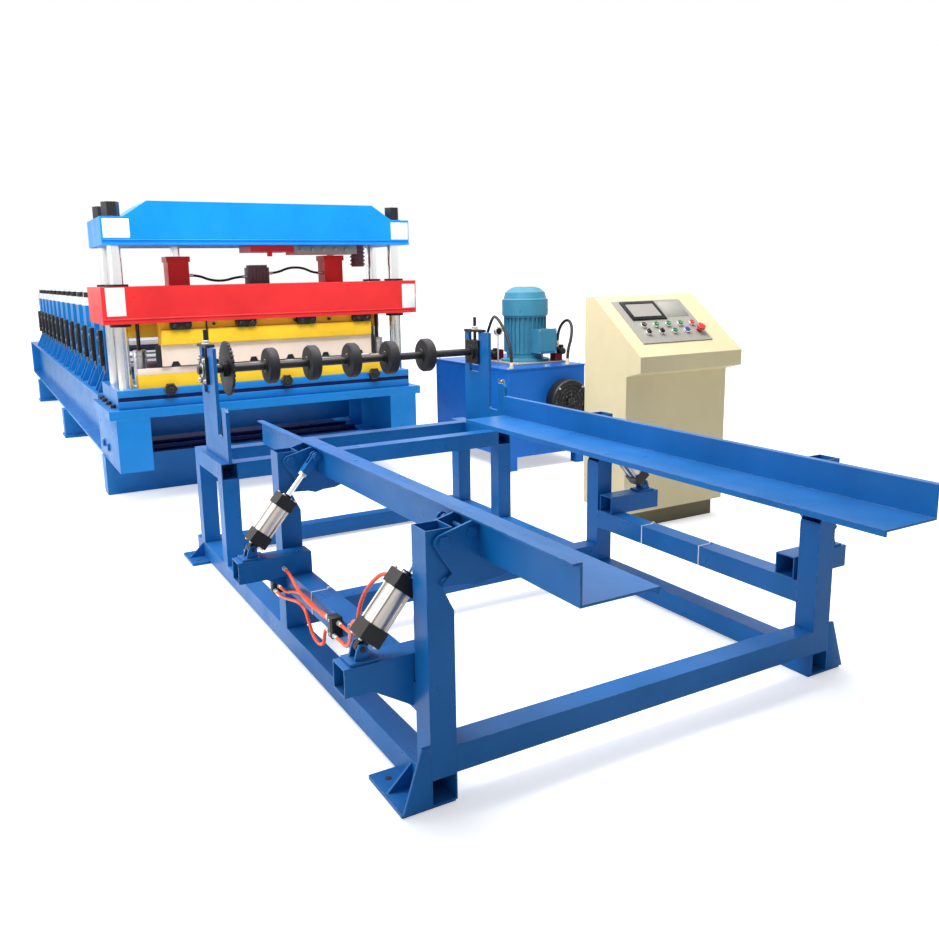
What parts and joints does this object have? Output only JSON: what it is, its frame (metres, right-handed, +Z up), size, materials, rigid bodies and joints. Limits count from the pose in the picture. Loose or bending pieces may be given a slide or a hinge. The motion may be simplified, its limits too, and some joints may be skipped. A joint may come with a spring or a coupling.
{
  "type": "roll forming machine",
  "caption": "Sheet roll forming line with hydraulic shear, run-out wheels, swinging stacker trays, oil station and control cabinet.",
  "frame": {"origin": "centre of the bounding box at floor level", "axes": "+X across the line towards the cabinet side, +Y along the line from the stacker to the roll former, +Z up"},
  "size_m": [3.349, 11.441, 1.9],
  "materials": {
    "line_blue": "gloss paint",
    "bright_blue": "gloss paint",
    "press_red": "gloss paint",
    "die_yellow": "gloss paint",
    "blade_steel": "satin paint",
    "cap_white": "satin paint",
    "chrome": "polished",
    "bright_aluminium": "satin",
    "black_metal": "satin paint",
    "rubber": "matt",
    "steel": "machined",
    "station_blue": "gloss paint",
    "teal": "satin paint",
    "cream": "satin paint",
    "grey": "satin paint",
    "hose_black": "matt",
    "hose_orange": "gloss",
    "panel_grey": "satin paint"
  },
  "bodies": {
    "root": {"base_frame": "line_blue", "base_legs": "line_blue", "bearing_housings": "black_metal", "cabinet_body": "cream", "cabinet_plinth": "grey", "clevis_feet": "line_blue", "column_nuts": "black_metal", "columns": "chrome", "control_panel": "panel_grey", "cross_tubes": "line_blue", "crown_beam": "bright_blue", "crown_manifold": "press_red", "cylinder_mounts": "line_blue", "floor_rails": "line_blue", "height_adjusters": "black_metal", "line_hoses": "hose_orange", "lower_bed": "bright_blue", "lower_die": "die_yellow", "lower_rolls": "steel", "mid_rails": "line_blue", "motor_cover": "teal", "oil_cooler": "black_metal", "oil_tank": "station_blue", "press_rods": "chrome", "pump_motor": "teal", "rear_pins": "steel", "roll_bearings": "black_metal", "roll_stands": "line_blue", "run_out_frame": "line_blue", "shaft_stands": "line_blue", "stacker_posts": "line_blue", "stand_caps": "cap_white", "tank_lid": "station_blue", "upper_bed": "bright_blue", "upper_rolls": "steel"},
    "left_tray_body": {"left_tray": "line_blue", "left_hinge_plates": "line_blue", "left_tray_pins": "steel"},
    "right_tray_body": {"right_tray": "line_blue", "right_hinge_plates": "line_blue", "right_tray_pins": "steel"},
    "left_cylinder_body": {"left_barrels": "bright_aluminium", "left_cylinder_heads": "black_metal", "cylinder_hoses": "hose_orange"},
    "right_cylinder_body": {"right_barrels": "bright_aluminium", "right_cylinder_heads": "black_metal"},
    "left_rod_body": {"left_rods": "chrome", "left_rod_forks": "line_blue"},
    "right_rod_body": {"right_rods": "chrome", "right_rod_forks": "line_blue"},
    "press_slide": {"slide_beam": "press_red", "upper_die": "die_yellow", "upper_blade": "blade_steel", "press_cylinders": "press_red", "slide_fittings": "black_metal", "press_hoses": "hose_black"},
    "wheel_set": {"wheel_shaft": "black_metal", "sprocket": "black_metal", "wheel_hubs": "black_metal", "rubber_wheels": "rubber"}
  },
  "joints": [
    {"name": "left_tray_swing", "type": "hinge", "parent": "root", "child": "left_tray_body", "pos_m": [-1.3655, -4.6445, 0.75], "axis": [0, 1, 0], "range_deg": [0, 45]},
    {"name": "left_cylinder_swing", "type": "hinge", "parent": "root", "child": "left_cylinder_body", "pos_m": [-1.5475, -4.6445, 0.455], "axis": [0, 1, 0], "range_deg": [0, 5.72]},
    {"name": "left_rod_slide", "type": "slide", "parent": "left_cylinder_body", "child": "left_rod_body", "axis": [-0.6447, 0, -0.7644], "range_m": [0, 0.05228]},
    {"name": "right_tray_swing", "type": "hinge", "parent": "root", "child": "right_tray_body", "pos_m": [0.1345, -4.6445, 0.75], "axis": [0, -1, 0], "range_deg": [0, 45]},
    {"name": "right_cylinder_swing", "type": "hinge", "parent": "root", "child": "right_cylinder_body", "pos_m": [0.3165, -4.6445, 0.455], "axis": [0, -1, 0], "range_deg": [0, 5.72]},
    {"name": "right_rod_slide", "type": "slide", "parent": "right_cylinder_body", "child": "right_rod_body", "axis": [0.6447, 0, -0.7644], "range_m": [0, 0.05228]},
    {"name": "press_stroke", "type": "slide", "parent": "root", "child": "press_slide", "axis": [0, 0, -1], "range_m": [0, 0.06]},
    {"name": "wheel_spin", "type": "hinge", "parent": "root", "child": "wheel_set", "pos_m": [-0.6155, -2.9295, 0.996], "axis": [1, 0, 0], "continuous": true}
  ],
  "couplings": [
    {"joint": "left_cylinder_swing", "follows": "left_tray_swing", "ratio": 0.125},
    {"joint": "left_rod_slide", "follows": "left_tray_swing", "m_per_rad": 0.06618},
    {"joint": "right_cylinder_swing", "follows": "right_tray_swing", "ratio": 0.125},
    {"joint": "right_rod_slide", "follows": "right_tray_swing", "m_per_rad": 0.06618}
  ]
}
